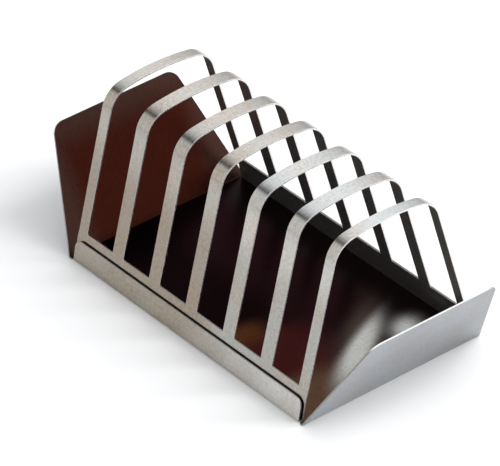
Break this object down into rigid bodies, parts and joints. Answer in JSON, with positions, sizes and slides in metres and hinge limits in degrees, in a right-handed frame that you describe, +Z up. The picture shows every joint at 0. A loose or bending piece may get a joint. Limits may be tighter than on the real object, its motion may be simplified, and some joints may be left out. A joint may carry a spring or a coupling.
{
  "type": "toast rack",
  "caption": "Stainless steel toast rack: a row of flat-strip arches rising from two side rails, standing in a low crumb tray with sloping end flaps.",
  "frame": {"origin": "middle of the tray's flat underside, on the surface it stands on", "axes": "+X along the length towards one end flap, +Y across to the left rail, +Z up"},
  "size_m": [0.189, 0.0846, 0.0713],
  "materials": {
    "tray": "satin, fine grain along the length",
    "rack": "satin, fine grain along the strips"
  },
  "bodies": {
    "tray": {"crumb_tray": "tray"},
    "rack": {"rail_left": "rack", "rail_right": "rack", "arch_1": "rack", "arch_2": "rack", "arch_3": "rack", "arch_4": "rack", "arch_5": "rack", "arch_6": "rack", "arch_7": "rack"}
  },
  "joints": [
    {"name": "rack_lift", "type": "slide", "parent": "tray", "child": "rack", "axis": [0, 0, 1], "range_m": [0, 0.055]}
  ]
}
